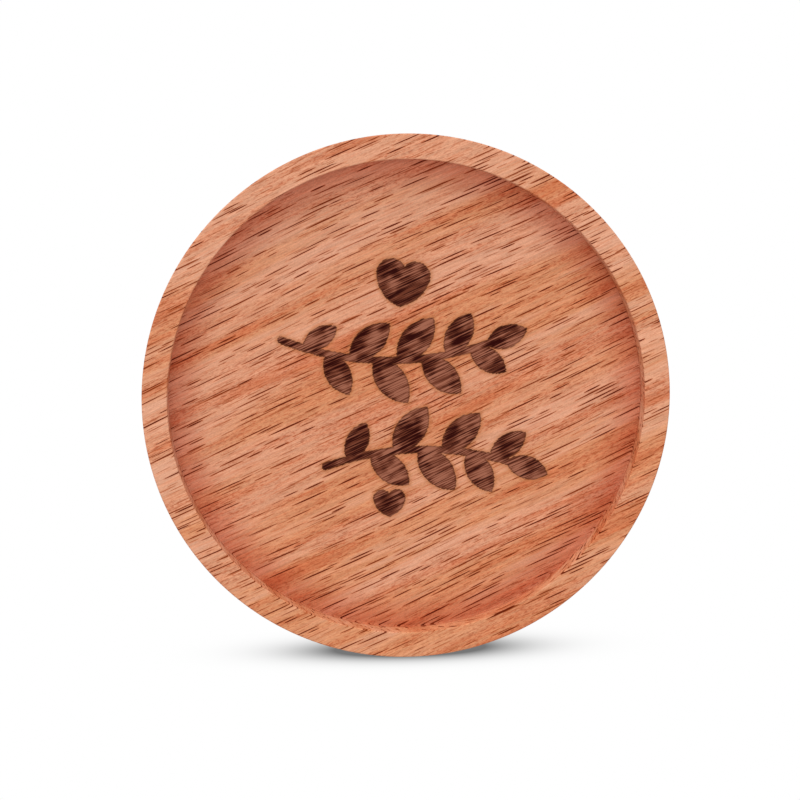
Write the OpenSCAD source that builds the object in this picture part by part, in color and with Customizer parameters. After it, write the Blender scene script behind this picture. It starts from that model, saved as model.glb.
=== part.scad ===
// Round wooden drink coaster: a tray turned from one board, with a raised rim, a shallow well for the
// glass and a burned ornament in the well, standing on four rubber feet that are stuck into sockets.
// The origin is the centre of the base, on the table. +Z is up and +Y is the top of the ornament.

/* [Tray] */
// Outer diameter of the tray, at the rim
tray_d = 100; // [84:1:140]
// Thickness of the tray, from its underside to the rim
tray_h = 10; // [8:0.5:16]
// Slope of the outer side, in degrees from upright, inwards to the base
side_draft = 8; // [0:1:20]
// Radius of the round edge under the tray
base_edge_r = 3; // [0.5:0.5:4]
// Radius that breaks the outer and inner edges of the rim
rim_edge_r = 0.25; // [0.1:0.05:1]

/* [Well] */
// Width of the rim around the well
rim_w = 4.8; // [3:0.2:10]
// Depth of the well below the rim
well_depth = 4.2; // [2:0.1:5]
// Slope of the well's wall, in degrees from upright, inwards to the floor
well_draft = 5.5; // [0:0.5:20]
// Radius in the corner between the well's wall and floor
well_corner_r = 0.25; // [0.1:0.05:1]

/* [Feet] */
// Diameter of a rubber foot
foot_d = 10; // [6:0.5:14]
// Height of a rubber foot, without its adhesive
foot_h = 1.85; // [1.5:0.05:4]
// Radius of the round edge at the bottom of a foot
foot_edge_r = 0.5; // [0.1:0.1:1]
// Distance from the tray's outer edge to the centre of a foot
foot_inset = 14; // [13:0.5:20]
// Depth of the socket that a foot sits in
socket_depth = 1; // [0.4:0.1:1.4]
// Free space around a foot in its socket
socket_gap = 0.25; // [0.1:0.05:1]
// Thickness of the adhesive disc on a foot
adhesive_t = 0.15; // [0.1:0.05:0.5]
// How far the edge of a foot stands out past its adhesive disc
adhesive_inset = 0.5; // [0.2:0.1:1.5]

/* [Burned ornament] */
// Depth of the burned figures below the well's floor
burn_depth = 0.3; // [0.1:0.05:1]
// Width of the large heart
large_heart_w = 10.3; // [6:0.1:14]
// Height of the large heart
large_heart_h = 8.9; // [6:0.1:12]
// Centre of the large heart
large_heart_at = [-0.6, 21.2]; // [-28:0.1:28]
// Turn of the large heart, in degrees
large_heart_turn = -9; // [-45:1:45]
// Width of the small heart
small_heart_w = 6.1; // [4:0.1:10]
// Height of the small heart
small_heart_h = 5.2; // [4:0.1:8]
// Centre of the small heart
small_heart_at = [-3, -20.9]; // [-28:0.1:28]
// Turn of the small heart, in degrees
small_heart_turn = 2; // [-45:1:45]
// Length of the longest leaf
leaf_l = 10.8; // [6:0.1:12]
// Width of the longest leaf
leaf_w = 5.6; // [2:0.1:6]
// Distance along the stem from one leaf to the next
leaf_pitch = 4.6; // [3:0.1:8]
// Angle between a leaf and its stem, in degrees
leaf_splay = 50; // [20:1:70]
// Width of the stems
stem_w = 1.4; // [0.6:0.1:2]
// Radius that the stems are bent to
stem_bend_r = 56; // [40:1:200]
// Start of the upper sprig's stem
upper_sprig_at = [-23.5, 10.6]; // [-28:0.1:28]
// Direction of the upper sprig's stem at its start, in degrees
upper_sprig_turn = -22; // [-45:1:45]
// Start of the lower sprig's stem
lower_sprig_at = [-15.2, -13.7]; // [-28:0.1:28]
// Direction of the lower sprig's stem at its start, in degrees
lower_sprig_turn = 19; // [-45:1:45]

/* [Hidden] */

$fn = 96;
// Steps that a quarter or less of a round edge is drawn in
edge_steps = 6;
// How far a cut runs past the face that it opens
cut_over = 0.5;

// The feet carry the tray this far above the table
tray_z = foot_h + adhesive_t - socket_depth;
rim_z = tray_z + tray_h;
floor_z = rim_z - well_depth;
socket_top_z = tray_z + socket_depth;

// A heart's lobes and its rounded point, as shares of its width
heart_lobe_share = 0.275;
heart_point_share = 0.09;
// How far below the level of its middle a lobe runs over into the side of the heart, in degrees
heart_side_start = 12;
// How far a leaf is sunk into its stem, as a share of its length
leaf_root_share = 0.05;

// Length of each leaf along a sprig, from its root, as shares of the longest leaf
upper_leaf_shares = [0.72, 0.86, 0.95, 1, 1, 0.95, 0.88, 0.78];
lower_leaf_shares = [0.76, 0.9, 1, 1, 0.95, 0.86, 0.78];

// Turns about Z at which the four feet stand, in degrees
front_right_turn = -45;
back_right_turn = 45;
back_left_turn = 135;
front_left_turn = 225;

wood_color = [0.80, 0.50, 0.37];
rubber_color = [0.10, 0.09, 0.09];
adhesive_color = [0.86, 0.85, 0.80];

// Points of a round edge of radius r about [x, z], from angle a to angle b
function round_edge(x, z, r, a, b) =
    [for (i = [0:edge_steps]) let (t = a + (b - a) * i / edge_steps) [x + r * cos(t), z + r * sin(t)]];

// Half section of the tray blank in [radius, height], from the middle of the underside, around the rim
// and down to the middle of the well's floor
function tray_section() =
    let (
        rim_x = tray_d / 2 - rim_edge_r,
        edge_z = rim_z - rim_edge_r,
        side_x = rim_x + rim_edge_r * cos(side_draft),
        side_z = edge_z - rim_edge_r * sin(side_draft),
        base_z = tray_z + base_edge_r,
        base_x = side_x - (base_edge_r + (side_z - base_z) * sin(side_draft)) / cos(side_draft),
        mouth_x = tray_d / 2 - rim_w + rim_edge_r,
        wall_x = mouth_x - rim_edge_r * cos(well_draft),
        wall_z = edge_z + rim_edge_r * sin(well_draft),
        corner_z = floor_z + well_corner_r,
        corner_x = wall_x - (well_corner_r + (wall_z - corner_z) * sin(well_draft)) / cos(well_draft)
    )
    concat(
        [[0, tray_z]],
        round_edge(base_x, base_z, base_edge_r, -90, -side_draft),
        round_edge(rim_x, edge_z, rim_edge_r, -side_draft, 90),
        round_edge(mouth_x, edge_z, rim_edge_r, 90, 180 - well_draft),
        round_edge(corner_x, corner_z, well_corner_r, -well_draft, -90),
        [[0, floor_z]]
    );

// A heart about the middle of its own height, point down: two lobes and a rounded point, joined by two
// bulging sides. Each side is part of a circle that holds a lobe and the point and touches both.
module heart(w, h) {
    lobe_r = w * heart_lobe_share;
    point_r = w * heart_point_share;
    lobe_x = w / 2 - lobe_r;
    drop = h - lobe_r - point_r;
    run = [cos(heart_side_start), sin(heart_side_start)];
    side_gap = (lobe_x * lobe_x + drop * drop - pow(lobe_r - point_r, 2))
        / (lobe_x * run.x - drop * run.y + lobe_r - point_r) / 2;
    side_at = [side_gap * run.x - lobe_x, side_gap * run.y];
    side_r = side_gap + lobe_r;
    point_turn = atan2(-drop - side_at.y, -side_at.x);
    point_touch = side_at + side_r * [cos(point_turn), sin(point_turn)];
    translate([0, h / 2 - lobe_r]) {
        translate([0, -drop]) circle(point_r);
        for (s = [-1, 1]) translate([s * lobe_x, 0]) circle(lobe_r);
        intersection() {
            translate(side_at) circle(side_r);
            translate([-side_at.x, side_at.y]) circle(side_r);
            polygon([
                [0, sqrt(lobe_r * lobe_r - lobe_x * lobe_x)],
                [-lobe_x, 0],
                [-lobe_x - w * run.x, -w * run.y],
                [-w, point_touch.y],
                [w, point_touch.y],
                [lobe_x + w * run.x, -w * run.y],
                [lobe_x, 0]
            ]);
        }
    }
}

// A leaf along +X: what two equal circles share. Its root lies at [0, 0], a little way into it.
module leaf(l, w) {
    r = (l * l + w * w) / (4 * w);
    intersection_for (s = [-1, 1])
        translate([l / 2 - l * leaf_root_share, s * (r - w / 2)]) circle(r);
}

// A sprig that starts at [0, 0] along +X and bends to the left, with leaves on alternate sides, the first
// on the left if first is 1 and on the right if it is -1, and a leaf at its tip that takes in the stem's end
module sprig(leaf_shares, first) {
    count = len(leaf_shares);
    turn = leaf_pitch * (count + 1) / stem_bend_r * 180 / PI;
    outer_r = stem_bend_r + stem_w / 2;
    translate([0, stem_bend_r]) rotate(-90) {
        difference() {
            circle(outer_r);
            circle(stem_bend_r - stem_w / 2);
            rotate(turn) translate([-outer_r, 0]) square(2 * outer_r);
            rotate(180) translate([-outer_r, 0]) square(2 * outer_r);
        }
        translate([stem_bend_r, 0]) circle(stem_w / 2);
        for (i = [0 : count - 1])
            rotate(turn * (i + 1) / (count + 1)) translate([stem_bend_r, 0])
                rotate(90 + first * leaf_splay * (i % 2 == 0 ? 1 : -1))
                    leaf(leaf_l * leaf_shares[i], leaf_w * leaf_shares[i]);
        rotate(turn) translate([stem_bend_r, -stem_w]) rotate(90)
            leaf(leaf_l * leaf_shares[count - 1], leaf_w * leaf_shares[count - 1]);
    }
}

// Everything that is burned into the well's floor
module ornament() {
    translate(large_heart_at) rotate(large_heart_turn) heart(large_heart_w, large_heart_h);
    translate(small_heart_at) rotate(small_heart_turn) heart(small_heart_w, small_heart_h);
    translate(upper_sprig_at) rotate(upper_sprig_turn) sprig(upper_leaf_shares, 1);
    translate(lower_sprig_at) rotate(lower_sprig_turn) mirror([0, 1]) sprig(lower_leaf_shares, -1);
}

// Moves what it holds to the middle of the foot at turn a
module at_foot(a) {
    rotate(a) translate([tray_d / 2 - foot_inset, 0]) children();
}

module tray() {
    color(wood_color) difference() {
        rotate_extrude() polygon(tray_section());
        for (a = [front_right_turn, back_right_turn, back_left_turn, front_left_turn])
            at_foot(a) translate([0, 0, tray_z - cut_over])
                cylinder(h = socket_depth + cut_over, d = foot_d + 2 * socket_gap);
        translate([0, 0, floor_z - burn_depth]) linear_extrude(burn_depth + cut_over) ornament();
    }
}

module foot(a) {
    color(rubber_color) at_foot(a) rotate_extrude() polygon(concat(
        [[0, 0]],
        round_edge(foot_d / 2 - foot_edge_r, foot_edge_r, foot_edge_r, -90, 0),
        [[foot_d / 2, foot_h], [0, foot_h]]
    ));
}

module adhesive(a) {
    color(adhesive_color) at_foot(a) translate([0, 0, socket_top_z - adhesive_t])
        cylinder(h = adhesive_t, d = foot_d - 2 * adhesive_inset);
}

tray();
foot(front_right_turn);  // foot_front_right
foot(back_right_turn);  // foot_back_right
foot(back_left_turn);  // foot_back_left
foot(front_left_turn);  // foot_front_left
adhesive(front_right_turn);  // adhesive_front_right
adhesive(back_right_turn);  // adhesive_back_right
adhesive(back_left_turn);  // adhesive_back_left
adhesive(front_left_turn);  // adhesive_front_left
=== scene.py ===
# %% [markdown]
# # A round wooden drink coaster
# The object is one turned piece of open-pored reddish hardwood, 100 mm across. It has a raised rim, a
# shallow well for the glass, a burned ornament in the well, and four rubber feet in sockets underneath.
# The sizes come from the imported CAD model. This script gives the pieces their finished meshes and their
# finish, and sets up a white studio around them.

# %% Load the frame
import math

import bmesh
import bpy
from mathutils import Matrix, Vector


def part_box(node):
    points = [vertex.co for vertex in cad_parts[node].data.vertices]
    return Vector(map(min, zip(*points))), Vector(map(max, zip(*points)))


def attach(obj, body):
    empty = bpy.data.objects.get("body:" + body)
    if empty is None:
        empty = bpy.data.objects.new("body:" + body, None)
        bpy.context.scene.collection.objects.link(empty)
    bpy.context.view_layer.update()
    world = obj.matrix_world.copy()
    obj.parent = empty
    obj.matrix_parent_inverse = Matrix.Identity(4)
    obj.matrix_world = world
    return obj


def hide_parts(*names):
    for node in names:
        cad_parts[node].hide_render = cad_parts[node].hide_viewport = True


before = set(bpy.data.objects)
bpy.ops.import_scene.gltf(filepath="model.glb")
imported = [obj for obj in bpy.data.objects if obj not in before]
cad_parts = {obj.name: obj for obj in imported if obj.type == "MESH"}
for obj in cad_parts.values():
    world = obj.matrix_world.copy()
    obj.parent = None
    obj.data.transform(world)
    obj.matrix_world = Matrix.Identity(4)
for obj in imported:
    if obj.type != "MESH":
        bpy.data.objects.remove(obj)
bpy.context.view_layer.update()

# %% [markdown]
# ## Sizes
# Blender works in metres and the maker thinks in millimetres, so one named factor turns one into the
# other. What the frame's boxes tell is read from them. The rest are the maker's own sizes for the rim,
# the well, the sloping side and the round edges.

# %% Sizes of the tray
MM = 0.001
tray_low, tray_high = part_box("tray")
TRAY_R = tray_high.x
RIM_Z = tray_high.z
BASE_Z = tray_low.z
RIM_WIDTH = 4.8 * MM
WELL_DEPTH = 4.2 * MM
FLOOR_Z = RIM_Z - WELL_DEPTH
SIDE_DRAFT = math.radians(8)
WELL_DRAFT = math.radians(5.5)
RIM_EDGE_R = 0.25 * MM
BASE_EDGE_R = 3 * MM
WELL_CORNER_R = 0.25 * MM
print("in mm: tray radius", round(TRAY_R / MM, 2), "rim at", round(RIM_Z / MM, 2),
      "floor at", round(FLOOR_Z / MM, 2))

# %% [markdown]
# ## The camera
# The photograph looks almost straight down into the well from a little above and to the left of its
# middle, through a long lens. The camera stands where the rim turns into an ellipse of the right shape,
# and looks at a point close to the middle of the rim. Its upper side follows +Y.

# %% The camera
IMAGE_SIZE = 800
SENSOR = 36
LENS = 199.2
CAMERA_AT = Vector((-60.6, 129.5, 834)) * MM
LOOK_AT = Vector((-1.3, -0.42, 11)) * MM

back = (CAMERA_AT - LOOK_AT).normalized()
right = Vector((0, 1, 0)).cross(back).normalized()
upward = back.cross(right)

bpy.ops.object.select_all(action="DESELECT")
bpy.ops.object.camera_add(location=CAMERA_AT)
camera = bpy.context.object
camera.name = "photo_camera"
camera.matrix_world = Matrix.Translation(CAMERA_AT) @ Matrix((right, upward, back)).transposed().to_4x4()
camera.data.sensor_width = SENSOR
camera.data.lens = LENS
camera.data.clip_start = 0.05
camera.data.clip_end = 20
bpy.context.scene.camera = camera
bpy.context.scene.view_settings.view_transform = "Standard"


def to_pixels(point):
    """Where a point in the frame lands in the photograph's 800 x 800 pixels."""
    seen = Vector(point) - CAMERA_AT
    scale = LENS / SENSOR * IMAGE_SIZE / -seen.dot(back)
    return IMAGE_SIZE / 2 + seen.dot(right) * scale, IMAGE_SIZE / 2 - seen.dot(upward) * scale


around = [math.tau * i / 360 for i in range(360)]
rim_seen = [to_pixels((TRAY_R * math.cos(a), TRAY_R * math.sin(a), RIM_Z)) for a in around]
print("rim in pixels: x", round(min(p[0] for p in rim_seen), 1), "to", round(max(p[0] for p in rim_seen), 1),
      "y", round(min(p[1] for p in rim_seen), 1), "to", round(max(p[1] for p in rim_seen), 1))

# %% [markdown]
# ## Helpers for finishes
# A finish is a small program made of nodes. These helpers add one node each, take numbers or the outputs
# of other nodes as inputs, and give back the output, so that a formula can be read in the usual order.

# %% Node helpers
def feed(tree, socket, value):
    """Puts a number or colour on a socket, or links another node's output to it."""
    if isinstance(value, bpy.types.NodeSocket):
        tree.links.new(value, socket)
    else:
        socket.default_value = value


def calc(tree, operation, *values):
    """A Math node."""
    node = tree.nodes.new("ShaderNodeMath")
    node.operation = operation
    for socket, value in zip(node.inputs, values):
        feed(tree, socket, value)
    return node.outputs[0]


def vector_calc(tree, operation, *values):
    """A Vector Math node. Its answer is a number for DISTANCE, LENGTH and DOT_PRODUCT."""
    node = tree.nodes.new("ShaderNodeVectorMath")
    node.operation = operation
    for socket, value in zip(node.inputs, values):
        feed(tree, socket, value)
    return node.outputs["Value" if operation in ("DISTANCE", "LENGTH", "DOT_PRODUCT") else "Vector"]


def times(tree, vector, factor):
    """A vector or a colour times a number."""
    node = tree.nodes.new("ShaderNodeVectorMath")
    node.operation = "SCALE"
    feed(tree, node.inputs["Vector"], vector)
    feed(tree, node.inputs["Scale"], factor)
    return node.outputs["Vector"]


def in_millimetres(tree, place):
    """A place in the scene's metres, in millimetres."""
    return vector_calc(tree, "DIVIDE", place, (MM, MM, MM))


def ramp(tree, value, start, end, low=0, high=1):
    """A smooth step of the value from start to end, which gives low before it and high after it."""
    node = tree.nodes.new("ShaderNodeMapRange")
    node.interpolation_type = "SMOOTHSTEP"
    for name, number in zip(("Value", "From Min", "From Max", "To Min", "To Max"),
                            (value, start, end, low, high)):
        feed(tree, node.inputs[name], number)
    return node.outputs["Result"]


def spread(tree, pattern, low, high):
    """A noise, whose values lie mostly between 0.3 and 0.7, spread out from low to high."""
    return ramp(tree, pattern, 0.3, 0.7, low, high)


def blend(tree, share, first, second, mode="MIX"):
    """A Mix node for colours."""
    node = tree.nodes.new("ShaderNodeMix")
    node.data_type = "RGBA"
    node.blend_type = mode
    node.clamp_factor = True
    feed(tree, node.inputs["Factor"], share)
    feed(tree, node.inputs[6], first)
    feed(tree, node.inputs[7], second)
    return node.outputs[2]


def noise(tree, place, lengths, detail=2, roughness=0.5, output="Fac"):
    """Noise whose features have the given lengths in millimetres along the three axes of the place."""
    node = tree.nodes.new("ShaderNodeTexNoise")
    node.inputs["Scale"].default_value = 1
    node.inputs["Detail"].default_value = detail
    node.inputs["Roughness"].default_value = roughness
    feed(tree, node.inputs["Vector"], vector_calc(tree, "DIVIDE", place, lengths))
    return node.outputs[output]


def bumps(tree, height, strength, distance):
    """The normal of a surface that a height pattern roughens."""
    node = tree.nodes.new("ShaderNodeBump")
    node.inputs["Strength"].default_value = strength
    node.inputs["Distance"].default_value = distance
    feed(tree, node.inputs["Height"], height)
    return node.outputs["Normal"]


def new_group(name, inputs, outputs):
    """A shader node group with named sockets, and its input and output nodes."""
    group = bpy.data.node_groups.new(name, "ShaderNodeTree")
    for title, kind in inputs:
        group.interface.new_socket(title, in_out="INPUT", socket_type=kind)
    for title, kind in outputs:
        group.interface.new_socket(title, in_out="OUTPUT", socket_type=kind)
    return group, group.nodes.new("NodeGroupInput"), group.nodes.new("NodeGroupOutput")


def use_group(tree, group, **values):
    """Places a group in a material with its own values."""
    node = tree.nodes.new("ShaderNodeGroup")
    node.node_tree = group
    for title, value in values.items():
        feed(tree, node.inputs[title.replace("_", " ")], value)
    return node.outputs


def srgb(red, green, blue):
    """A colour as a picture shows it, from 0 to 255, in the linear numbers that Blender uses."""
    def linear(value):
        value /= 255
        return value / 12.92 if value <= 0.04045 else ((value + 0.055) / 1.055) ** 2.4
    return (linear(red), linear(green), linear(blue), 1)


# %% [markdown]
# ## Studio
# A white world lights everything evenly. A wide soft key lamp hangs above the coaster, and a low lamp at
# the top of the picture lights the wall of the well that faces it. Together they light a level surface so
# that its colour renders about as it is written. The world shows as plain white to the camera, in
# reflections and through clear things.

# %% World and lamps
WORLD_LIGHT = 0.55
# name, share of a level surface's light, elevation, turn from -Y and angular size in degrees
LAMPS = [
    ("key_lamp", 0.31, 90, 0, 50),
    ("low_lamp", 0.164, 20, 195, 40),
]

world = bpy.data.worlds.new("white_studio")
bpy.context.scene.world = world
world.use_nodes = True
sky = world.node_tree
sky.nodes.clear()
sky_lamp = sky.nodes.new("ShaderNodeBackground")
sky_lamp.inputs["Strength"].default_value = WORLD_LIGHT
sky_white = sky.nodes.new("ShaderNodeBackground")
sky_mix = sky.nodes.new("ShaderNodeMixShader")
sky_out = sky.nodes.new("ShaderNodeOutputWorld")
ray = sky.nodes.new("ShaderNodeLightPath").outputs
shows_white = calc(sky, "MAXIMUM", ray["Is Camera Ray"], ray["Is Glossy Ray"])
shows_white = calc(sky, "MAXIMUM", shows_white, ray["Is Transmission Ray"])
for background in (sky_lamp, sky_white):
    background.inputs["Color"].default_value = (1, 1, 1, 1)
feed(sky, sky_mix.inputs["Fac"], shows_white)
feed(sky, sky_mix.inputs[1], sky_lamp.outputs[0])
feed(sky, sky_mix.inputs[2], sky_white.outputs[0])
feed(sky, sky_out.inputs["Surface"], sky_mix.outputs[0])

level_light = WORLD_LIGHT
for name, share, elevation, turned, sun_size in LAMPS:
    bpy.ops.object.light_add(type="SUN", rotation=(math.radians(90 - elevation), 0, math.radians(turned)))
    lamp = bpy.context.object
    lamp.name = name
    lamp.data.angle = math.radians(sun_size)
    lamp.data.energy = share * math.pi / math.sin(math.radians(elevation))
    level_light += share
print("a level white surface gets", round(level_light, 3))

# %% [markdown]
# The coaster lies on a white table. It is a matt sheet that lets half of the light from below through, and
# the camera doesn't see it. What the camera sees is the white world, darkened by a clear sheet on the
# table. Two things darken the sheet. One is the Ambient Occlusion node, which measures how open the space
# above is. The other is the soft shadow of the photograph, a long patch under the lower edge of the
# coaster. A rounder spot below the tray, which hides it from the camera, bridges the patch and the tray, so
# that the patch doesn't float beside the coaster in other views.

# %% Table
TABLE_R = 3
TABLE_SIDES = 64
TABLE_WHITE = 0.9
bpy.ops.object.select_all(action="DESELECT")
bpy.ops.mesh.primitive_circle_add(vertices=TABLE_SIDES, radius=TABLE_R, fill_type="NGON", location=(0, 0, 0))
table_top = bpy.context.object
table_top.name = "table_top"
table_top.visible_camera = False
table_top.visible_shadow = False

table_finish = bpy.data.materials.new("white_table")
table_finish.use_nodes = True
table = table_finish.node_tree
table.nodes.clear()
matt_white = table.nodes.new("ShaderNodeBsdfDiffuse")
matt_white.inputs["Color"].default_value = (TABLE_WHITE, TABLE_WHITE, TABLE_WHITE, 1)
clear = table.nodes.new("ShaderNodeBsdfTransparent")
half_clear = table.nodes.new("ShaderNodeMixShader")
half_clear.inputs["Fac"].default_value = 0.5
table_out = table.nodes.new("ShaderNodeOutputMaterial")
feed(table, half_clear.inputs[1], matt_white.outputs[0])
feed(table, half_clear.inputs[2], clear.outputs[0])
feed(table, table_out.inputs["Surface"], half_clear.outputs[0])
table_top.data.materials.append(table_finish)

# %% Clear sheet that holds the shadow
SHEET_R = 80 * MM
CONTACT_REACH = 2 * MM
CONTACT_SHADE = 0.75
OPEN_ENOUGH = 0.85
# on a flat sheet the third size of a spot can be anything large
PATCH_AT = Vector((1.4, -50.7, 0)) * MM
PATCH_SIZE = Vector((18.7, 2, 1000)) * MM
BRIDGE_SIZE = Vector((13, 7, 1000)) * MM
PATCH_TURN = math.radians(0.6)
PATCH_SHADE = 1.5
DARKEST = 0.82


def shadow_finish():
    """Clear, but darker where little of the space above is open and in the patch."""
    finish = bpy.data.materials.new("soft_shadow")
    finish.use_nodes = True
    tree = finish.node_tree
    tree.nodes.clear()
    openness = tree.nodes.new("ShaderNodeAmbientOcclusion")
    openness.inputs["Distance"].default_value = CONTACT_REACH
    contact = ramp(tree, openness.outputs["AO"], 0, OPEN_ENOUGH, CONTACT_SHADE, 0)
    place = tree.nodes.new("ShaderNodeTexCoord").outputs["Object"]
    turned = tree.nodes.new("ShaderNodeMapping")
    turned.inputs["Rotation"].default_value = (0, 0, -PATCH_TURN)
    feed(tree, turned.inputs["Vector"], vector_calc(tree, "SUBTRACT", place, PATCH_AT))

    def soft_spot(size):
        """Shade that fades away from the middle of the patch like a Gaussian curve."""
        away = vector_calc(tree, "LENGTH", vector_calc(tree, "DIVIDE", turned.outputs[0], size))
        fading = calc(tree, "EXPONENT", calc(tree, "MULTIPLY", calc(tree, "POWER", away, 2), -1))
        return calc(tree, "MULTIPLY", fading, PATCH_SHADE)

    below_tray = ramp(tree, vector_calc(tree, "LENGTH", place), TRAY_R - MM, TRAY_R + MM, 1, 0)
    bridge = calc(tree, "MULTIPLY", soft_spot(BRIDGE_SIZE), below_tray)
    patch = calc(tree, "MINIMUM", calc(tree, "MAXIMUM", soft_spot(PATCH_SIZE), bridge), DARKEST)
    from_above = calc(tree, "SUBTRACT", 1, tree.nodes.new("ShaderNodeNewGeometry").outputs["Backfacing"])
    shade = calc(tree, "MULTIPLY", calc(tree, "MAXIMUM", contact, patch), from_above)
    clear = tree.nodes.new("ShaderNodeBsdfTransparent")
    black = tree.nodes.new("ShaderNodeEmission")
    black.inputs["Strength"].default_value = 0
    seen = tree.nodes.new("ShaderNodeMixShader")
    out = tree.nodes.new("ShaderNodeOutputMaterial")
    feed(tree, seen.inputs["Fac"], shade)
    feed(tree, seen.inputs[1], clear.outputs[0])
    feed(tree, seen.inputs[2], black.outputs[0])
    feed(tree, out.inputs["Surface"], seen.outputs[0])
    return finish


bpy.ops.object.select_all(action="DESELECT")
bpy.ops.mesh.primitive_circle_add(vertices=TABLE_SIDES, radius=SHEET_R, fill_type="NGON", location=(0, 0, 0))
sheet = bpy.context.object
sheet.name = "shadow_sheet"
sheet.visible_shadow = False
sheet.visible_diffuse = False
sheet.visible_glossy = False
sheet.visible_transmission = False
sheet.data.materials.append(shadow_finish())

# %% [markdown]
# ## Helpers for modelling
# Blender's operators act on whatever is selected, so every step starts with nothing selected. A small
# rule, such as "faces that look down", then picks the parts that the next operator should change.

# %% Selecting by rule
def choose(piece):
    """Selects one piece alone, for the operators that act on what is selected."""
    bpy.ops.object.select_all(action="DESELECT")
    piece.select_set(True)
    bpy.context.view_layer.objects.active = piece


def start_edit(piece):
    """Opens one piece in edit mode with nothing selected."""
    choose(piece)
    bpy.ops.object.mode_set(mode="EDIT")
    bpy.ops.mesh.select_all(action="DESELECT")


def pick(piece, kind, rule):
    """In edit mode, selects the vertices, edges or faces that the rule holds for, and tells how many."""
    bpy.ops.mesh.select_mode(type=kind)
    bpy.ops.mesh.select_all(action="DESELECT")
    mesh = bmesh.from_edit_mesh(piece.data)
    parts = {"VERT": mesh.verts, "EDGE": mesh.edges, "FACE": mesh.faces}[kind]
    chosen = [part for part in parts if rule(part)]
    for part in chosen:
        part.select_set(True)
    mesh.select_flush_mode()
    bmesh.update_edit_mesh(piece.data)
    return len(chosen)


def near(a, b, room=0.01 * MM):
    """Whether two lengths agree to a hundredth of a millimetre."""
    return abs(a - b) < room


def ring_edges(radius, height):
    """A rule for the edges that run around the axis at that radius and height."""
    def rule(edge):
        return all(near(v.co.z, height) and near(v.co.xy.length, radius) for v in edge.verts)
    return rule


# %% [markdown]
# ## The tray: a turned blank
# A wood turner starts from a flat disc, slopes its side, hollows the well and then breaks the edges. The
# same order works here. A cylinder is added at the size of the sharp-edged blank, and its lower face is
# scaled in for the sloping side. The sharp corners lie where the sloping lines meet, a little outside the
# round edges that come later.

# %% Sharp corners of the section
def corner_run(turn, radius):
    """How far a round edge reaches along each face from the corner that it rounds."""
    return radius * math.tan(turn / 2)


RIGHT_ANGLE = math.radians(90)
rim_outer_turn = RIGHT_ANGLE + SIDE_DRAFT
rim_inner_turn = RIGHT_ANGLE - WELL_DRAFT
base_turn = RIGHT_ANGLE - SIDE_DRAFT

blank_r = TRAY_R - RIM_EDGE_R + corner_run(rim_outer_turn, RIM_EDGE_R)
blank_base_r = blank_r - (RIM_Z - BASE_Z) * math.tan(SIDE_DRAFT)
mouth_r = TRAY_R - RIM_WIDTH + RIM_EDGE_R - corner_run(rim_inner_turn, RIM_EDGE_R)
well_floor_r = mouth_r - WELL_DEPTH * math.tan(WELL_DRAFT)
print("corner radii in mm:", [round(r / MM, 3) for r in (blank_r, blank_base_r, mouth_r, well_floor_r)])

# %% Blank with a sloping side
TRAY_SIDES = 256
bpy.ops.object.select_all(action="DESELECT")
bpy.ops.mesh.primitive_cylinder_add(vertices=TRAY_SIDES, radius=blank_r, depth=RIM_Z - BASE_Z,
                                    location=(0, 0, (RIM_Z + BASE_Z) / 2))
tray = bpy.context.object
tray.name = "turned_tray"
bpy.ops.object.transform_apply(location=True, rotation=False, scale=False)

start_edit(tray)
pick(tray, "FACE", lambda face: face.normal.z < -0.9)
narrower = blank_base_r / blank_r
bpy.ops.transform.resize(value=(narrower, narrower, 1), center_override=(0, 0, BASE_Z))

# %% [markdown]
# The well is an inset of the top face by the width of the rim, extruded down by its depth and scaled in
# for the slope of its wall.

# %% The well
pick(tray, "FACE", lambda face: face.normal.z > 0.9)
bpy.ops.mesh.inset(thickness=(blank_r - mouth_r) * math.cos(math.pi / TRAY_SIDES), depth=0)
bpy.ops.mesh.extrude_region_move(TRANSFORM_OT_translate={"value": (0, 0, -WELL_DEPTH)})
floor_share = well_floor_r / mouth_r
bpy.ops.transform.resize(value=(floor_share, floor_share, 1), center_override=(0, 0, FLOOR_Z))

# %% [markdown]
# Four bevels round the edges. Each one is as wide as the tangent of its corner, so that the bevel is the
# arc of the maker's radius: 3 mm under the tray, 0.25 mm on both sides of the rim, and as much where the
# cutter's nose left a fillet around the floor.

# %% Round edges
ROUNDED = [
    ("base edge", blank_base_r, BASE_Z, base_turn, BASE_EDGE_R, 10),
    ("outer rim edge", blank_r, RIM_Z, rim_outer_turn, RIM_EDGE_R, 5),
    ("inner rim edge", mouth_r, RIM_Z, rim_inner_turn, RIM_EDGE_R, 5),
    ("floor corner", well_floor_r, FLOOR_Z, rim_inner_turn, WELL_CORNER_R, 4),
]
for title, radius, height, turn, edge_r, steps in ROUNDED:
    found = pick(tray, "EDGE", ring_edges(radius, height))
    bpy.ops.mesh.bevel(offset=corner_run(turn, edge_r), offset_type="OFFSET", segments=steps,
                       affect="EDGES", clamp_overlap=False)
    print(title, "rounds", found, "edges")
bpy.ops.object.mode_set(mode="OBJECT")

# %% [markdown]
# ## Foot sockets
# Each foot sits in a shallow bored socket. A cylinder that starts below the tray stands in wherever the
# frame has a foot, and a Boolean modifier takes it out of the wood.

# %% Boring the sockets
FOOT_NAMES = ["foot_front_right", "foot_back_right", "foot_back_left", "foot_front_left"]
SOCKET_DEPTH = 1 * MM
SOCKET_GAP = 0.25 * MM
SOCKET_SIDES = 64
CUT_OVER = 0.5 * MM


def foot_centre(name):
    """The middle of a foot in the frame, on the table."""
    low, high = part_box(name)
    return Vector(((low.x + high.x) / 2, (low.y + high.y) / 2, low.z))


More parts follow.
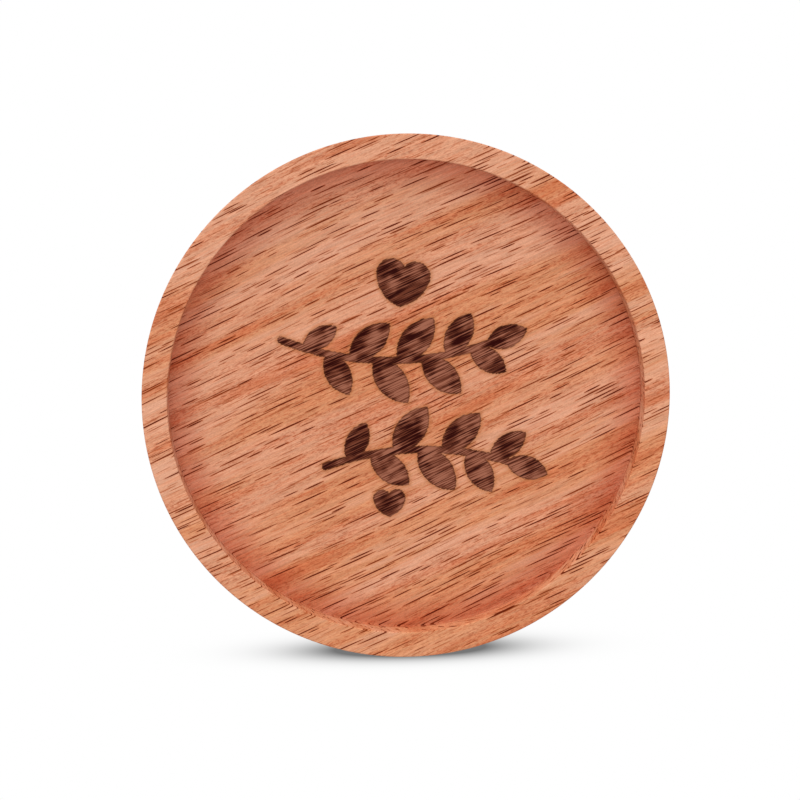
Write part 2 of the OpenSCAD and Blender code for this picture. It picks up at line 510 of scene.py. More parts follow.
def cut_away(piece, cutter):
    """Takes the cutter's shape out of the piece and removes the cutter."""
    modifier = piece.modifiers.new("cut", "BOOLEAN")
    modifier.operation = "DIFFERENCE"
    modifier.solver = "EXACT"
    modifier.object = cutter
    choose(piece)
    bpy.ops.object.modifier_apply(modifier=modifier.name)
    bpy.data.objects.remove(cutter)


foot_low, foot_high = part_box(FOOT_NAMES[0])
FOOT_R = (foot_high.x - foot_low.x) / 2
for name in FOOT_NAMES:
    at = foot_centre(name)
    bpy.ops.object.select_all(action="DESELECT")
    bpy.ops.mesh.primitive_cylinder_add(vertices=SOCKET_SIDES, radius=FOOT_R + SOCKET_GAP,
                                        depth=SOCKET_DEPTH + CUT_OVER,
                                        location=(at.x, at.y, BASE_Z + (SOCKET_DEPTH - CUT_OVER) / 2))
    cut_away(tray, bpy.context.object)
    print(name, "stands at", [round(c / MM, 2) for c in at.xy])

# %% [markdown]
# ## Burned ornament: the figures
# A laser has burned two hearts and two leaf sprigs 0.3 mm deep into the well's floor. Every figure here
# is made of round arcs only, as with a compass: a leaf is two equal arcs, a heart is two lobes, two long
# sides and a rounded point, and a stem is a bent strip. So each figure is written as a starting point
# and a list of arcs, and as the circles that the burned finish needs later.

# %% Compass geometry
def heading(degrees):
    """The unit direction at an angle from +X."""
    return Vector((math.cos(math.radians(degrees)), math.sin(math.radians(degrees))))


def leftward(direction):
    """The direction a quarter turn to the left."""
    return Vector((-direction.y, direction.x))


def placed(point, at, direction):
    """A point of a figure's own drawing, where the figure stands."""
    return at + point[0] * direction + point[1] * leftward(direction)


# %% [markdown]
# A leaf is what two equal circles share. Its length and width give their radius, and its root lies a
# little way inside the stem.

# %% Leaf
LEAF_LENGTH = 10.8 * MM
LEAF_WIDTH = 5.6 * MM
LEAF_ROOT_SHARE = 0.05


def leaf(root, direction, length, width):
    """A leaf along a direction, as one figure."""
    radius = (length ** 2 + width ** 2) / (4 * width)
    reach = radius - width / 2
    left_centre = placed((length / 2 - length * LEAF_ROOT_SHARE, reach), root, direction)
    right_centre = placed((length / 2 - length * LEAF_ROOT_SHARE, -reach), root, direction)
    turn = 2 * math.asin(length / 2 / radius)
    return {
        "title": "leaf",
        "start": root - direction * length * LEAF_ROOT_SHARE,
        "arcs": [(left_centre, turn), (right_centre, turn)],
        "inside_all": [("circle", left_centre, radius), ("circle", right_centre, radius)],
    }


# %% [markdown]
# A heart's lobes and point are shares of its width. Each long side belongs to a circle that holds a lobe
# and the point and touches both, and a little triangle geometry gives its middle.

# %% Heart
HEART_LOBE_SHARE = 0.275
HEART_POINT_SHARE = 0.09
HEART_SIDE_TURN = 12


def heart(at, turned, width, height):
    """A heart about the middle of its height, as one figure of five arcs."""
    across = heading(turned)
    lobe_r = width * HEART_LOBE_SHARE
    point_r = width * HEART_POINT_SHARE
    lobe_x = width / 2 - lobe_r
    lobe_y = height / 2 - lobe_r
    drop = height - lobe_r - point_r
    run = heading(HEART_SIDE_TURN)
    gap = (lobe_x ** 2 + drop ** 2 - (lobe_r - point_r) ** 2) / (
        lobe_x * run.x - drop * run.y + lobe_r - point_r) / 2
    side = Vector((gap * run.x - lobe_x, gap * run.y + lobe_y))
    side_r = gap + lobe_r
    notch = Vector((0, lobe_y + math.sqrt(lobe_r ** 2 - lobe_x ** 2)))
    tip = Vector((0, lobe_y - drop))
    leave_lobe = math.radians(180 + HEART_SIDE_TURN)
    meet_tip = math.atan2(tip.y - side.y, tip.x - side.x) % math.tau
    lobe_turn = leave_lobe - math.atan2(notch.y - lobe_y, lobe_x)
    touch_y = side.y + side_r * math.sin(meet_tip)
    centres = {
        "left_lobe": placed((-lobe_x, lobe_y), at, across),
        "right_lobe": placed((lobe_x, lobe_y), at, across),
        "left_side": placed(side, at, across),
        "right_side": placed((-side.x, side.y), at, across),
        "tip": placed(tip, at, across),
    }
    return {
        "title": "heart",
        "start": placed(notch, at, across),
        "arcs": [
            (centres["left_lobe"], lobe_turn),
            (centres["left_side"], meet_tip - leave_lobe),
            (centres["tip"], 3 * math.pi - 2 * meet_tip),
            (centres["right_side"], meet_tip - leave_lobe),
            (centres["right_lobe"], lobe_turn),
        ],
        "inside_any": [
            ("circle", centres["left_lobe"], lobe_r),
            ("circle", centres["right_lobe"], lobe_r),
            ("circle", centres["tip"], point_r),
        ],
        "inside_all": [
            ("circle", centres["left_side"], side_r),
            ("circle", centres["right_side"], side_r),
            ("line", centres["left_lobe"], placed((-run.y, run.x), Vector((0, 0)), across)),
            ("line", centres["right_lobe"], placed((run.y, run.x), Vector((0, 0)), across)),
            ("line", placed((0, touch_y), at, across), placed((0, -1), Vector((0, 0)), across)),
        ],
    }


# %% [markdown]
# A sprig is a stem bent to one radius, with leaves on alternate sides and one more at its tip. The stem
# itself is the strip between two circles about the middle of the bend, with a round start. Its first leaf
# stands inside the bend or outside it.

# %% Sprig
STEM_WIDTH = 1.4 * MM
STEM_BEND_R = 56 * MM
LEAF_PITCH = 4.6 * MM
LEAF_SPLAY = 50


def sprig(at, turned, leaf_shares, bend, first):
    """A stem and its leaves. Bend 1 is to the left and -1 to the right, first 1 inside and -1 outside."""
    along = heading(turned)
    middle = at + leftward(along) * STEM_BEND_R * bend
    step = math.degrees(LEAF_PITCH / STEM_BEND_R)
    total = step * (len(leaf_shares) + 1)

    def on_stem(degrees):
        """The point of the stem's middle line after that much of the bend, and the direction there."""
        point = (STEM_BEND_R * math.sin(math.radians(degrees)),
                 bend * STEM_BEND_R * (1 - math.cos(math.radians(degrees))))
        return placed(point, at, along), heading(turned + bend * degrees)

    figures = []
    for place, share in enumerate(leaf_shares, start=1):
        root = on_stem(step * place)[0]
        side = first if place % 2 else -first
        direction = heading(turned + bend * (step * place + side * LEAF_SPLAY))
        figures.append(leaf(root, direction, LEAF_LENGTH * share, LEAF_WIDTH * share))
    end, end_direction = on_stem(total)
    figures.append(leaf(end - end_direction * STEM_WIDTH, end_direction,
                        LEAF_LENGTH * leaf_shares[-1], LEAF_WIDTH * leaf_shares[-1]))

    inward = leftward(end_direction) * bend
    figures.append({
        "title": "stem",
        "start": end + inward * STEM_WIDTH / 2,
        "arcs": [
            (middle, -bend * math.radians(total)),
            (at, bend * math.pi),
            (middle, bend * math.radians(total)),
        ],
        "inside_any": [("circle", at, STEM_WIDTH / 2)],
        "inside_all": [
            ("circle", middle, STEM_BEND_R + STEM_WIDTH / 2),
            ("outside", middle, STEM_BEND_R - STEM_WIDTH / 2),
            ("line", at, -along),
            ("line", end, end_direction),
        ],
    })
    return figures


# %% The whole ornament
UPPER_LEAF_SHARES = [0.72, 0.86, 0.95, 1, 1, 0.95, 0.88, 0.78]
LOWER_LEAF_SHARES = [0.76, 0.9, 1, 1, 0.95, 0.86, 0.78]
ornament = [
    heart(Vector((-0.6, 21.2)) * MM, turned=-9, width=10.3 * MM, height=8.9 * MM),
    heart(Vector((-3, -20.9)) * MM, turned=2, width=6.1 * MM, height=5.2 * MM),
    *sprig(Vector((-23.5, 10.6)) * MM, turned=-22, leaf_shares=UPPER_LEAF_SHARES, bend=1, first=1),
    *sprig(Vector((-15.2, -13.7)) * MM, turned=19, leaf_shares=LOWER_LEAF_SHARES, bend=-1, first=-1),
]
print("the ornament has", len(ornament), "figures:", sorted({f["title"] for f in ornament}))

# %% [markdown]
# ## Burned ornament: cutting the pockets
# A figure's outline is drawn by spinning a single vertex about the middle of each of its arcs in turn.
# The outline is filled, extruded into a block that reaches above the floor, and cut away from the tray.

# %% Outline by spinning one vertex
BURN_DEPTH = 0.3 * MM
ARC_STEP = 0.35 * MM
SAME_POINT = 0.002 * MM


def outline_block(figure, bottom, top):
    """A block with the figure's outline, from one height to the other."""
    x, y = figure["start"]
    bpy.ops.object.select_all(action="DESELECT")
    bpy.ops.mesh.primitive_plane_add(size=MM, location=(x, y, bottom))
    block = bpy.context.object
    bpy.ops.object.transform_apply(location=True, rotation=False, scale=False)
    start_edit(block)
    bpy.ops.mesh.select_all(action="SELECT")
    bpy.ops.mesh.merge(type="CENTER")
    point = figure["start"].copy()
    for centre, turn in figure["arcs"]:
        radius = (point - centre).length
        steps = max(3, round(radius * abs(turn) / ARC_STEP))
        bpy.ops.mesh.spin(steps=steps, angle=turn, center=(centre.x, centre.y, bottom), axis=(0, 0, -1))
        point = centre + Matrix.Rotation(turn, 2) @ (point - centre)
    bpy.ops.mesh.select_all(action="SELECT")
    bpy.ops.mesh.remove_doubles(threshold=SAME_POINT)
    bpy.ops.mesh.edge_face_add()
    bpy.ops.mesh.extrude_region_move(TRANSFORM_OT_translate={"value": (0, 0, top - bottom)})
    bpy.ops.mesh.select_all(action="SELECT")
    bpy.ops.mesh.normals_make_consistent(inside=False)
    bpy.ops.object.mode_set(mode="OBJECT")
    return block


for figure in ornament:
    cut_away(tray, outline_block(figure, FLOOR_Z - BURN_DEPTH, FLOOR_Z + CUT_OVER))
print("the tray has", len(tray.data.vertices), "vertices and", len(tray.data.polygons), "faces")

# %% [markdown]
# A cut piece can keep doubled points and slivers. They are merged, the faces are turned outwards, and the
# open edges are counted: a closed shell has none. Smooth shading holds across the round edges and breaks
# at the sharp ones, and the Weighted Normal modifier keeps the large flat faces flat.

# %% Closing and shading the tray
def close_and_count(piece):
    """Merges doubled points, turns the faces outwards and prints how many edges aren't closed."""
    start_edit(piece)
    bpy.ops.mesh.select_all(action="SELECT")
    bpy.ops.mesh.remove_doubles(threshold=SAME_POINT)
    bpy.ops.mesh.normals_make_consistent(inside=False)
    mesh = bmesh.from_edit_mesh(piece.data)
    open_edges = sum(not edge.is_manifold for edge in mesh.edges)
    bpy.ops.object.mode_set(mode="OBJECT")
    print(piece.name, "has", len(piece.data.polygons), "faces and", open_edges, "open edges")


def smooth(piece, degrees):
    """Smooth shading up to an angle, with large faces kept flat."""
    choose(piece)
    bpy.ops.object.shade_smooth_by_angle(angle=math.radians(degrees))
    weighted = piece.modifiers.new("flat faces", "WEIGHTED_NORMAL")
    weighted.keep_sharp = True
    bpy.ops.object.modifier_apply(modifier=weighted.name)


close_and_count(tray)
smooth(tray, 30)
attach(tray, "root")
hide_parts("tray")

# %% [markdown]
# ## Feet
# The feet are moulded rubber buttons. One is modelled: a cylinder whose lower edge is rounded by 0.5 mm,
# so that it doesn't catch on the table, and whose upper edge is just broken, because it is hidden in the
# socket. The other three are copies, each with a mesh of its own, at the places that the frame gives.

# %% One moulded foot
FOOT_EDGE_R = 0.5 * MM
FOOT_TOP_EDGE_R = 0.12 * MM
FOOT_SIDES = 96
first_at = foot_centre(FOOT_NAMES[0])
bpy.ops.object.select_all(action="DESELECT")
bpy.ops.mesh.primitive_cylinder_add(vertices=FOOT_SIDES, radius=FOOT_R, depth=foot_high.z - foot_low.z,
                                    location=(first_at.x, first_at.y, (foot_high.z + foot_low.z) / 2))
foot = bpy.context.object
bpy.ops.object.transform_apply(location=True, rotation=False, scale=False)
start_edit(foot)
for height, edge_r, steps in ((foot_low.z, FOOT_EDGE_R, 6), (foot_high.z, FOOT_TOP_EDGE_R, 3)):
    pick(foot, "EDGE", lambda edge: all(near(v.co.z, height) for v in edge.verts))
    bpy.ops.mesh.bevel(offset=edge_r, segments=steps, affect="EDGES", clamp_overlap=False)
bpy.ops.object.mode_set(mode="OBJECT")
smooth(foot, 40)

# %% Four feet in their sockets
feet = []
for name in FOOT_NAMES:
    if feet:
        choose(foot)
        bpy.ops.object.duplicate(linked=False)
        copy = bpy.context.object
        bpy.ops.transform.translate(value=foot_centre(name) - first_at)
        bpy.ops.object.transform_apply(location=True, rotation=False, scale=False)
    else:
        copy = foot
    copy.name = name.replace("foot", "rubber_foot")
    feet.append(copy)
for name, copy in zip(FOOT_NAMES, feet):
    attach(copy, "root")
    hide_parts(name)
    print(copy.name, "has", len(copy.data.polygons), "faces")

# %% [markdown]
# ## Where the wood is burned
# The burned finish has to follow the figures exactly, with a scorched fringe around them. So a node group
# works out how far a point is from the nearest figure, in millimetres, below zero inside it. A point is
# inside a leaf if it is inside both of its circles, and the larger of the two distances says so. The
# smallest distance over all the figures then belongs to the nearest one.

# %% Distance to the figures
def figure_distance(tree, point, figure):
    """The distance from a point to one figure."""
    def to_shape(kind, at, size):
        """The distance to a circle of that size, to the outside of one, or to a line that faces that way."""
        if kind == "line":
            return vector_calc(tree, "DOT_PRODUCT", vector_calc(tree, "SUBTRACT", point, (at.x, at.y, 0)),
                               (size.x, size.y, 0))
        away = vector_calc(tree, "DISTANCE", point, (at.x, at.y, 0))
        return calc(tree, "SUBTRACT", size, away) if kind == "outside" else calc(tree, "SUBTRACT", away, size)

    parts = [to_shape(*shape) for shape in figure["inside_all"]]
    nearest = parts[0]
    for part in parts[1:]:
        nearest = calc(tree, "MAXIMUM", nearest, part)
    for shape in figure.get("inside_any", []):
        nearest = calc(tree, "MINIMUM", nearest, to_shape(*shape))
    return nearest


def burn_distance_group():
    """The distance to the nearest figure of the ornament, in millimetres."""
    group, inside, out = new_group("distance_to_figures", [("Place", "NodeSocketVector")],
                                   [("Distance", "NodeSocketFloat")])
    flat = vector_calc(group, "MULTIPLY", inside.outputs[0], (1, 1, 0))
    nearest = figure_distance(group, flat, ornament[0])
    for figure in ornament[1:]:
        nearest = calc(group, "MINIMUM", nearest, figure_distance(group, flat, figure))
    feed(group, out.inputs[0], calc(group, "DIVIDE", nearest, MM))
    return group


distance_to_figures = burn_distance_group()
print("the distance group has", len(distance_to_figures.nodes), "nodes")

# %% [markdown]
# ## The wood
# Wood is a solid pattern: the rim, the well and the underside are cuts through the same block. So the
# pattern is worked out in three dimensions, in the board's own directions. The first axis follows the
# grain, which rises to the right by 24.5 degrees, and the other two lie across it, tipped so that the
# growth layers meet the floor at a slant. The grain also sways a little. CUT_FROM says which part of the
# endless block the coaster is cut from.

# %% Directions of the board
GRAIN_TURN = math.radians(24.5)
LAYER_TIP = math.radians(30)
CUT_FROM = (-150, 90, 30)
SWAY = 2.4
SWAY_LENGTHS = (55, 38, 38)


def board_group():
    """Place in the board, in millimetres along the grain, across the growth layers and along them."""
    group, inside, out = new_group("place_in_the_board", [("Place", "NodeSocketVector")],
                                   [("Board", "NodeSocketVector")])
    turned = group.nodes.new("ShaderNodeMapping")
    turned.inputs["Rotation"].default_value = (0, 0, -GRAIN_TURN)
    turned.inputs["Location"].default_value = CUT_FROM
    feed(group, turned.inputs["Vector"], in_millimetres(group, inside.outputs[0]))
    tipped = group.nodes.new("ShaderNodeMapping")
    tipped.inputs["Rotation"].default_value = (-LAYER_TIP, 0, 0)
    feed(group, tipped.inputs["Vector"], turned.outputs[0])
    drift = noise(group, tipped.outputs[0], SWAY_LENGTHS, detail=1, output="Color")
    centred = vector_calc(group, "SUBTRACT", drift, (0.5, 0.5, 0.5))
    swayed = vector_calc(group, "MULTIPLY", centred, (0, SWAY, SWAY))
    feed(group, out.inputs[0], vector_calc(group, "ADD", tipped.outputs[0], swayed))
    return group


place_in_the_board = board_group()

# %% [markdown]
# The open pores are what makes this wood: long, thin, dark dashes where the cut opens a vessel. Vessels
# stand in rows along the growth layers, so in the block a pore is a flat spindle: long along the grain,
# thin across the layers and several times wider along them. On the floor it shows as a dash, and on the
# wall of the well it goes on as a line. A Voronoi texture puts one spindle in each of its cells. The rows
# of cells are slid along the grain by a share of a cell, so that neighbours don't start side by side, and
# random numbers give each spindle its own length, width and depth of colour.

# %% Open pores
PORE_FLATNESS = 4.5
CELL_FLATNESS = 3
STAGGER = (0, 0.618, 0.382)
SCATTER = 0.62
HALF_LENGTH_SHARES = (0.15, 0.46)
HALF_WIDTH_SHARES = (0.38, 0.56)
SOFT_EDGE = 0.015
FRINGE_WIDTH = 0.22
# times this, the digits behind the point of one random number make another
NEXT_RANDOM = 7.3


def pore_group():
    """Spindles along the grain: how dark a pore is at this place, and a soft fringe around it."""
    group, inside, out = new_group(
        "open_pores",
        [("Board", "NodeSocketVector"), ("Cell length", "NodeSocketFloat"), ("Cell width", "NodeSocketFloat"),
         ("Pore width", "NodeSocketFloat"), ("Kept", "NodeSocketFloat"), ("Shift", "NodeSocketVector")],
        [("Pore", "NodeSocketFloat"), ("Depth", "NodeSocketFloat"), ("Fringe", "NodeSocketFloat")])
    board, cell_length, cell_width, pore_width, kept, shift = inside.outputs[:6]
    cell = group.nodes.new("ShaderNodeCombineXYZ")
    row_width = calc(group, "MULTIPLY", cell_width, CELL_FLATNESS)
    for socket, size in zip(cell.inputs, (cell_length, cell_width, row_width)):
        feed(group, socket, size)

    def slide(place, operation):
        """Moves a place in the cells along the grain, by a share of a cell for each row that it is away."""
        along_grain = group.nodes.new("ShaderNodeCombineXYZ")
        feed(group, along_grain.inputs["X"], vector_calc(group, "DOT_PRODUCT", place, STAGGER))
        return vector_calc(group, operation, place, along_grain.outputs[0])

    in_cells = vector_calc(group, "DIVIDE", vector_calc(group, "ADD", board, shift), cell.outputs[0])
    in_cells = slide(in_cells, "ADD")
    cells = group.nodes.new("ShaderNodeTexVoronoi")
    cells.inputs["Scale"].default_value = 1
    cells.inputs["Randomness"].default_value = SCATTER
    feed(group, cells.inputs["Vector"], in_cells)
    chance = group.nodes.new("ShaderNodeSeparateColor")
    feed(group, chance.inputs[0], cells.outputs["Color"])
    away = slide(vector_calc(group, "SUBTRACT", in_cells, cells.outputs["Position"]), "SUBTRACT")
    away = vector_calc(group, "MULTIPLY", away, cell.outputs[0])
    across = vector_calc(group, "LENGTH", vector_calc(group, "MULTIPLY", away, (0, 1, 1 / PORE_FLATNESS)))
    along = vector_calc(group, "LENGTH", vector_calc(group, "MULTIPLY", away, (1, 0, 0)))
    length_share = ramp(group, chance.outputs[0], 0, 1, *HALF_LENGTH_SHARES)
    half_length = calc(group, "MULTIPLY", length_share, cell_length)
    reach = calc(group, "DIVIDE", along, half_length)
    roundness = calc(group, "SUBTRACT", 1, calc(group, "POWER", reach, 2))
    taper = calc(group, "SQRT", calc(group, "MAXIMUM", roundness, 0))
    width_share = ramp(group, chance.outputs[1], 0, 1, *HALF_WIDTH_SHARES)
    radius = calc(group, "MULTIPLY", calc(group, "MULTIPLY", taper, pore_width), width_share)
    rim = calc(group, "SUBTRACT", across, radius)
    there = ramp(group, calc(group, "SUBTRACT", chance.outputs[2], kept), -0.01, 0.01, 1, 0)
    shown = calc(group, "MULTIPLY", there, ramp(group, reach, 0.9, 1.05, 1, 0))
    strength = calc(group, "FRACT", calc(group, "MULTIPLY", chance.outputs[1], NEXT_RANDOM))
    pore = calc(group, "MULTIPLY", shown, ramp(group, rim, -SOFT_EDGE, SOFT_EDGE, 1, 0))
    deep = calc(group, "MULTIPLY", ramp(group, strength, 0, 1, 0.55, 1.15),
                ramp(group, reach, 0.4, 1, 1, 0.3))
    feed(group, out.inputs["Pore"], pore)
    feed(group, out.inputs["Depth"], calc(group, "MULTIPLY", pore, deep))
    feed(group, out.inputs["Fringe"], calc(group, "MULTIPLY", shown, ramp(group, rim, 0, FRINGE_WIDTH, 1, 0)))
    return group


open_pores = pore_group()

# %% [markdown]
# ## Grain
# The grain group puts the rest together: broad bands of growth from pale salmon to red-brown, fine
# streaks along the fibres, tiny reddish flecks in the darker bands, the main pores, and finer and paler
# pores between them. The wood gets a little warmer towards its lower edge. The group gives the colour of
# the sanded wood and the masks that the burned finish and the bump use.

# %% Wood grain
PALE = srgb(230, 173, 144)
SALMON = srgb(226, 162, 128)
ORANGE = srgb(220, 150, 108)
RED_BROWN = srgb(206, 112, 70)
FLECK = srgb(176, 80, 46)
PORE_RED = srgb(162, 71, 20)
PORE_DARK = srgb(100, 28, 0)
EDGE_WARMTH = (0.7, -2, 0)
HUE_SHIFT = (31, 47, 5)
# lengths in mm of each pattern along the grain, across the growth layers and along them
BAND_LENGTHS = (60, 3.8, 16)
HUE_LENGTHS = (110, 9, 40)
STREAK_LENGTHS = (12, 0.38, 1.5)
FIBRE_LENGTHS = (3.4, 0.12, 0.5)
FLECK_LENGTHS = (0.9, 0.2, 0.22)
MOTTLE_LENGTHS = (0.34, 0.2, 0.2)
MAIN_PORES = {
    "Cell_length": 10.3, "Cell_width": 0.53, "Pore_width": 0.21, "Kept": 1.0, "Shift": (0, 0, 0),
}
FINE_PORES = {
    "Cell_length": 6.0, "Cell_width": 0.45, "Pore_width": 0.15, "Kept": 0.9, "Shift": (5.3, 2.9, 6.1),
}
FINE_PORE_STRENGTH = 0.7


def grain_group():
    """Colour and structure of the sanded wood."""
    group, inside, out = new_group(
        "wood_grain", [("Place", "NodeSocketVector")],
        [("Color", "NodeSocketColor"), ("Band", "NodeSocketFloat"), ("Streak", "NodeSocketFloat"),
         ("Pore", "NodeSocketFloat"), ("Height", "NodeSocketFloat")])
    board = use_group(group, place_in_the_board, Place=inside.outputs[0])[0]
    bands = noise(group, board, BAND_LENGTHS, detail=4, roughness=0.62)
    hue = noise(group, vector_calc(group, "ADD", board, HUE_SHIFT), HUE_LENGTHS, detail=1)
    streak = noise(group, board, STREAK_LENGTHS, detail=2, roughness=0.6)
    fibre = noise(group, board, FIBRE_LENGTHS, detail=1)
    flecks = noise(group, board, FLECK_LENGTHS, detail=1)
    mottle = noise(group, board, MOTTLE_LENGTHS, detail=1)

    towards_edge = vector_calc(group, "DOT_PRODUCT", inside.outputs[0], EDGE_WARMTH)
    warm = blend(group, ramp(group, calc(group, "ADD", hue, towards_edge), 0.4, 0.6), SALMON, ORANGE)
    color = blend(group, ramp(group, bands, 0.34, 0.52, 0.42, 1), PALE, warm)
    color = blend(group, ramp(group, bands, 0.5, 0.68, 0, 0.72), color, RED_BROWN)
    fleck_share = calc(group, "MULTIPLY", ramp(group, flecks, 0.5, 0.62),
                       ramp(group, bands, 0.42, 0.6, 0.1, 0.6))
    color = blend(group, fleck_share, color, FLECK)
    brightness = calc(group, "ADD", spread(group, streak, 0.88, 1.05),
                      spread(group, fibre, -0.08, 0.08))
    brightness = calc(group, "ADD", brightness, spread(group, mottle, -0.07, 0.07))
    color = times(group, color, brightness)

    main_pores = use_group(group, open_pores, Board=board, **MAIN_PORES)
    fine_pores = use_group(group, open_pores, Board=board, **FINE_PORES)
    pore = calc(group, "MAXIMUM", main_pores["Pore"],
                calc(group, "MULTIPLY", fine_pores["Pore"], FINE_PORE_STRENGTH))
    color = blend(group, calc(group, "MULTIPLY", main_pores["Fringe"], 0.3), color, RED_BROWN)
    color = blend(group, calc(group, "MULTIPLY", pore, 0.95), color, PORE_RED)
    color = blend(group, main_pores["Depth"], color, PORE_DARK)
    feed(group, out.inputs["Color"], color)
    feed(group, out.inputs["Band"], bands)
    feed(group, out.inputs["Streak"], streak)
    feed(group, out.inputs["Pore"], pore)
    feed(group, out.inputs["Height"], calc(group, "SUBTRACT", calc(group, "MULTIPLY", streak, 0.15), pore))
    return group


wood_grain = grain_group()
print("the wood grain group has", len(wood_grain.nodes), "nodes")

# %% [markdown]
# ## Finish of the tray
# The tray's material joins the grain and the burn. Inside the figures the laser has turned the wood to
# char, darker along the edges of a figure and streaked by the same grain. The edge of the char is ragged
# along the fibres, and a scorched fringe of nearly a millimetre fades out around it. The floor of the well
# has painted shade: a little darker all over, and darker and redder towards its corner, where the wall
# keeps light off and the light bounced from the wood is red.

# %% Tray finish
CHAR = srgb(44, 2, 0)
TOASTED = srgb(108, 54, 36)
LIGHT_TOAST = srgb(160, 100, 78)
OUTLINE = srgb(86, 42, 18)
SCORCH = srgb(180, 110, 66)
BURN_LOW = BASE_Z + 4 * MM
BURN_TOP = FLOOR_Z + 0.1 * MM
# painted shade, multiplied onto the wood of the well's floor and the foot of its wall
CORNER_PAINTED_SHADE = (0.8, 0.585, 0.555, 1)
PAINTED_SHADE_START = well_floor_r - 7.8 * MM
PAINTED_SHADE_END = well_floor_r - 0.8 * MM
PAINTED_SHADE_LOW = FLOOR_Z + 0.3 * MM
PAINTED_SHADE_HIGH = FLOOR_Z + 1.3 * MM
# in mm, as the distance and the board are
OUTLINE_WIDTH = 0.35
SCORCH_WIDTH = 0.9
RAGGED_LENGTHS = (1.1, 0.16, 0.4)
CHAR_LENGTHS = (7, 0.2, 0.6)
CLOUD_LENGTHS = (5, 5, 5)


def new_finish(name):
    """A material with its Principled shader, its tree and the Object coordinates."""
    material = bpy.data.materials.new(name)
    material.use_nodes = True
    tree = material.node_tree
    place = tree.nodes.new("ShaderNodeTexCoord").outputs["Object"]
    return material, tree, tree.nodes["Principled BSDF"], place


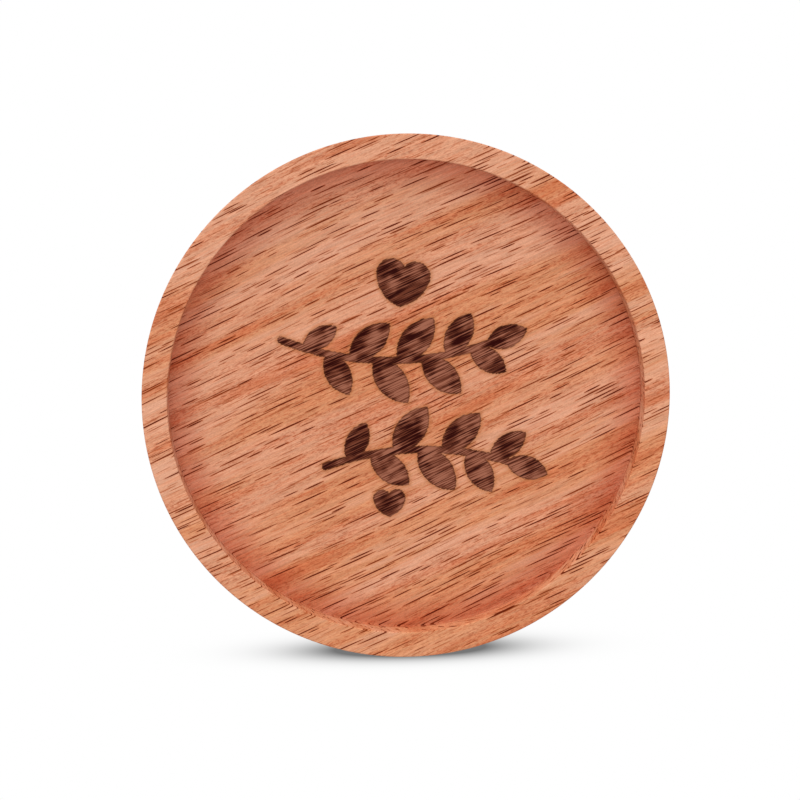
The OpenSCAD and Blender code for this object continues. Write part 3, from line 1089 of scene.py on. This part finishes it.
def tray_finish():
    """Sanded hardwood with the burned ornament."""
    material, tree, shader, place = new_finish("sanded_hardwood")
    grain = use_group(tree, wood_grain, Place=place)
    distance = use_group(tree, distance_to_figures, Place=place)["Distance"]
    split = tree.nodes.new("ShaderNodeSeparateXYZ")
    feed(tree, split.inputs[0], place)
    height = split.outputs["Z"]
    from_axis = vector_calc(tree, "LENGTH", vector_calc(tree, "MULTIPLY", place, (1, 1, 0)))
    on_floor = calc(tree, "MULTIPLY", calc(tree, "GREATER_THAN", height, BURN_LOW),
                    calc(tree, "LESS_THAN", height, BURN_TOP))
    board = use_group(tree, place_in_the_board, Place=place)[0]
    ragged = noise(tree, board, RAGGED_LENGTHS, detail=1)
    uneven = calc(tree, "ADD", distance, spread(tree, ragged, -0.1, 0.1))
    burned = calc(tree, "MULTIPLY", on_floor, ramp(tree, uneven, -0.05, 0.12, 1, 0))
    scorch = calc(tree, "MULTIPLY", on_floor, ramp(tree, distance, 0, SCORCH_WIDTH, 0.55, 0))
    cloud = noise(tree, in_millimetres(tree, place), CLOUD_LENGTHS, detail=2)
    paleness = ramp(tree, cloud, 0.35, 0.65, 0.85, 0.15)
    paleness = calc(tree, "ADD", paleness, spread(tree, grain["Streak"], -0.2, 0.2))
    paleness = calc(tree, "ADD", paleness, spread(tree, noise(tree, board, CHAR_LENGTHS), -0.5, 0.5))
    paleness = calc(tree, "SUBTRACT", paleness, calc(tree, "MULTIPLY", grain["Pore"], 0.4))
    char = blend(tree, ramp(tree, paleness, 0, 0.5), CHAR, TOASTED)
    char = blend(tree, ramp(tree, paleness, 0.5, 1), char, LIGHT_TOAST)
    char = blend(tree, ramp(tree, distance, -OUTLINE_WIDTH, -0.05, 0, 0.55), char, OUTLINE)
    # painted shade: a tenth of it on the whole floor of the well, all of it in the corner, gone 1.3 mm up the
    # wall
    in_well = calc(tree, "MULTIPLY", calc(tree, "LESS_THAN", from_axis, mouth_r),
                   calc(tree, "GREATER_THAN", height, FLOOR_Z - MM))
    painted_shade_share = calc(tree, "MULTIPLY", ramp(tree, from_axis, PAINTED_SHADE_START, PAINTED_SHADE_END, 0.1, 1),
                       ramp(tree, height, PAINTED_SHADE_LOW, PAINTED_SHADE_HIGH, 1, 0))
    painted_corner_shade = calc(tree, "MULTIPLY", in_well, painted_shade_share)
    color = blend(tree, painted_corner_shade, grain["Color"], CORNER_PAINTED_SHADE, "MULTIPLY")
    color = blend(tree, scorch, color, SCORCH)
    color = blend(tree, burned, color, char)
    feed(tree, shader.inputs["Base Color"], color)
    feed(tree, shader.inputs["Roughness"], spread(tree, grain["Band"], 0.5, 0.62))
    shader.inputs["Specular IOR Level"].default_value = 0.04
    feed(tree, shader.inputs["Normal"], bumps(tree, grain["Height"], strength=0.5, distance=0.08 * MM))
    return material


tray.data.materials.clear()
tray.data.materials.append(tray_finish())

# %% [markdown]
# ## Rubber and adhesive
# The feet are matt black rubber with the fine texture of their mould. The adhesive discs show only as a
# thin pale line, so the CAD discs stay and get the finish of a clear acrylic film.

# %% Rubber feet
RUBBER_DARK = srgb(30, 28, 27)
RUBBER_GREY = srgb(52, 49, 47)
RUBBER_CLOUD = (2.5, 2.5, 2.5)
PEBBLE = (0.12, 0.12, 0.12)


def rubber_finish():
    """Matt moulded rubber."""
    material, tree, shader, place = new_finish("moulded_rubber")
    in_mm = in_millimetres(tree, place)
    cloudy = noise(tree, in_mm, RUBBER_CLOUD, detail=3)
    pebbles = noise(tree, in_mm, PEBBLE, detail=2)
    color = blend(tree, ramp(tree, cloudy, 0.35, 0.7), RUBBER_DARK, RUBBER_GREY)
    feed(tree, shader.inputs["Base Color"], color)
    feed(tree, shader.inputs["Roughness"], spread(tree, cloudy, 0.68, 0.85))
    feed(tree, shader.inputs["Normal"], bumps(tree, pebbles, strength=0.4, distance=0.03 * MM))
    return material


rubber = rubber_finish()
for copy in feet:
    copy.data.materials.clear()
    copy.data.materials.append(rubber)

# %% Adhesive discs
FILM = srgb(214, 210, 196)
BUBBLE = srgb(236, 233, 224)
BUBBLE_LENGTHS = (0.5, 0.5, 0.5)


def adhesive_finish():
    """Clear acrylic film with a few trapped bubbles."""
    material, tree, shader, place = new_finish("acrylic_film")
    bubbles = noise(tree, in_millimetres(tree, place), BUBBLE_LENGTHS, detail=1)
    feed(tree, shader.inputs["Base Color"], blend(tree, ramp(tree, bubbles, 0.55, 0.7), FILM, BUBBLE))
    shader.inputs["Roughness"].default_value = 0.3
    return material


acrylic = adhesive_finish()
for name in FOOT_NAMES:
    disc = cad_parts[name.replace("foot", "adhesive")]
    disc.data.materials.clear()
    disc.data.materials.append(acrylic)
